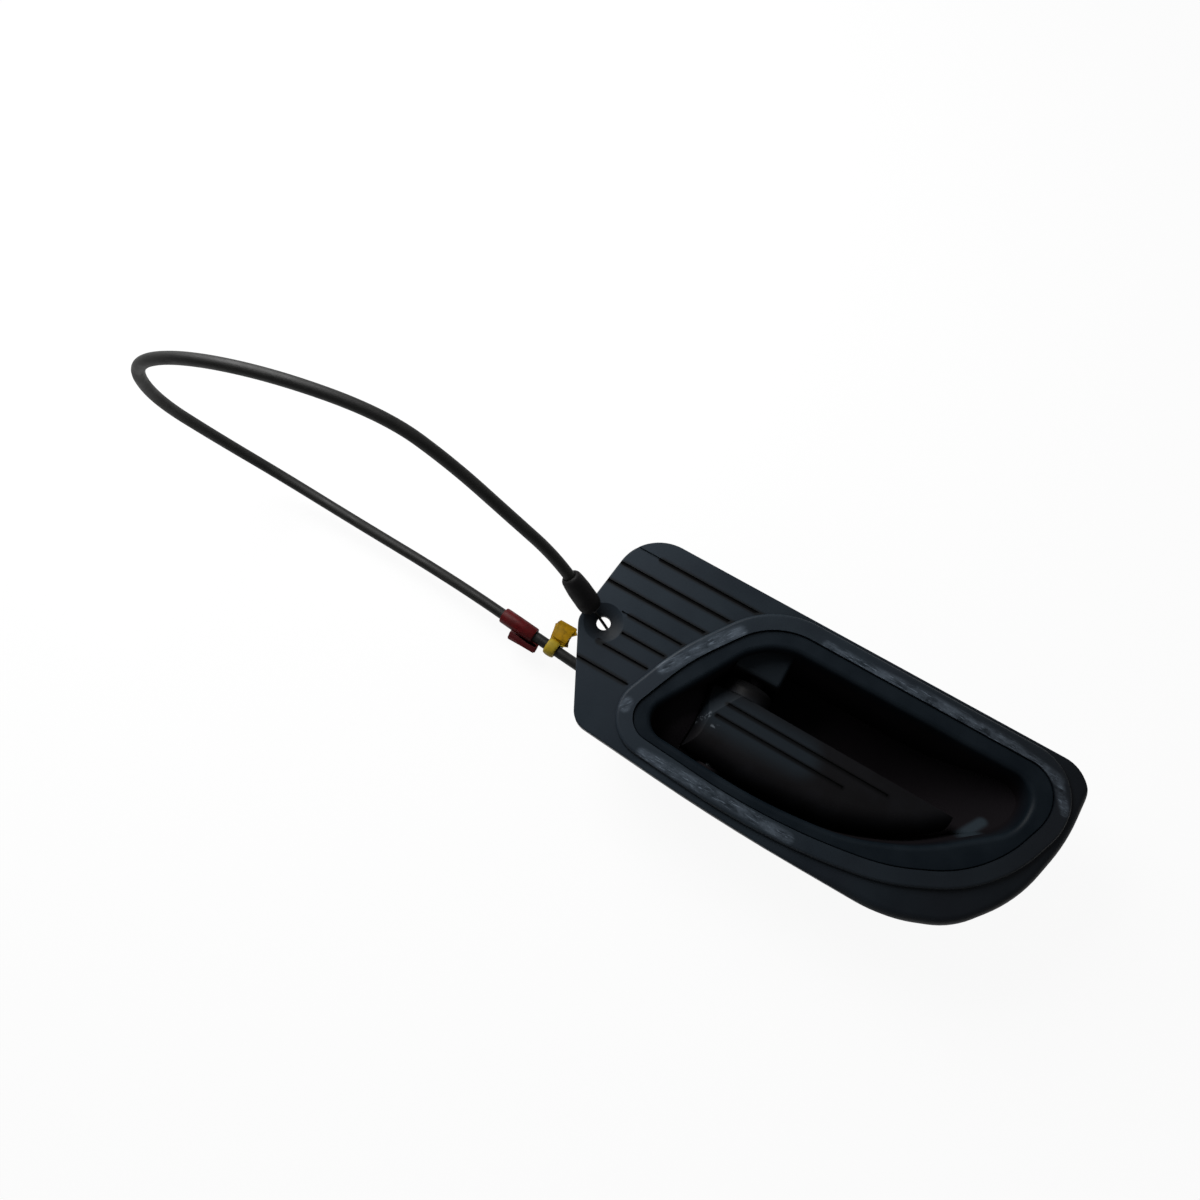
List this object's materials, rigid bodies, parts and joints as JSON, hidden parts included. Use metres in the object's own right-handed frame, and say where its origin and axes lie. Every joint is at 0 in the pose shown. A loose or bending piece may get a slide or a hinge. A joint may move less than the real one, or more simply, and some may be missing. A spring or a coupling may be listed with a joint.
{
  "type": "interior door handle",
  "caption": "Flat grooved escutcheon with a cup, a swinging pull lever and a sheathed release cable that loops back to the plate's screw boss.",
  "frame": {"origin": "middle of the handle's length and width at the flat bottom of the cup, the free cable left out", "axes": "+X from the cable end to the bulged end, +Y to the long straight edge, +Z out of the door towards the hand"},
  "size_m": [0.4499, 0.1004, 0.1341],
  "materials": {
    "plate_plastic": "fine grained, scuffed",
    "cup_plastic": "smooth matte",
    "lever_plastic": "satin",
    "steel": "zinc plated",
    "spring_steel": "oiled",
    "zinc": "die cast",
    "cable_wire": "stranded",
    "cable_sheath": "satin",
    "boot_rubber": "satin",
    "rubber": "matte",
    "red_plastic": "satin",
    "yellow_plastic": "satin"
  },
  "bodies": {
    "housing": {"escutcheon_plate": "plate_plastic", "cup_housing": "cup_plastic", "axle_pin": "steel", "axle_retaining_clip": "spring_steel", "return_spring": "spring_steel", "rest_buffer": "rubber", "handle_end_ferrule": "zinc", "conduit": "cable_sheath", "red_cable_clip": "red_plastic", "yellow_cable_clip": "yellow_plastic", "end_boot": "boot_rubber", "lock_end_ferrule": "zinc", "housing_screw_1": "steel", "housing_screw_2": "steel", "housing_screw_3": "steel", "housing_screw_4": "steel", "housing_screw_5": "steel", "housing_screw_6": "steel", "trim_clip_1": "spring_steel", "trim_clip_2": "spring_steel", "trim_clip_3": "spring_steel"},
    "lever": {"pull_lever": "lever_plastic"},
    "pull_wire": {"handle_end_wire": "cable_wire", "handle_end_nipple": "zinc"},
    "lock_wire": {"lock_end_wire": "cable_wire", "lock_end_nipple": "zinc"}
  },
  "joints": [
    {"name": "lever_hinge", "type": "hinge", "parent": "housing", "child": "lever", "pos_m": [-0.03245, 0, 0.027], "axis": [0, -1, 0], "range_deg": [0, 29], "stiffness_Nm_per_rad": 0.3, "springref_deg": -28.65, "deforming": ["return_spring"]},
    {"name": "pull_wire_slide", "type": "slide", "parent": "housing", "child": "pull_wire", "axis": [1, 0, 0], "range_m": [0, 0.0086]},
    {"name": "lock_wire_slide", "type": "slide", "parent": "housing", "child": "lock_wire", "axis": [-0.7027, 0.2419, 0.6691], "range_m": [0, 0.0086]}
  ],
  "couplings": [
    {"joint": "pull_wire_slide", "follows": "lever_hinge", "m_per_rad": 0.01682},
    {"joint": "lock_wire_slide", "follows": "lever_hinge", "m_per_rad": 0.01682}
  ]
}
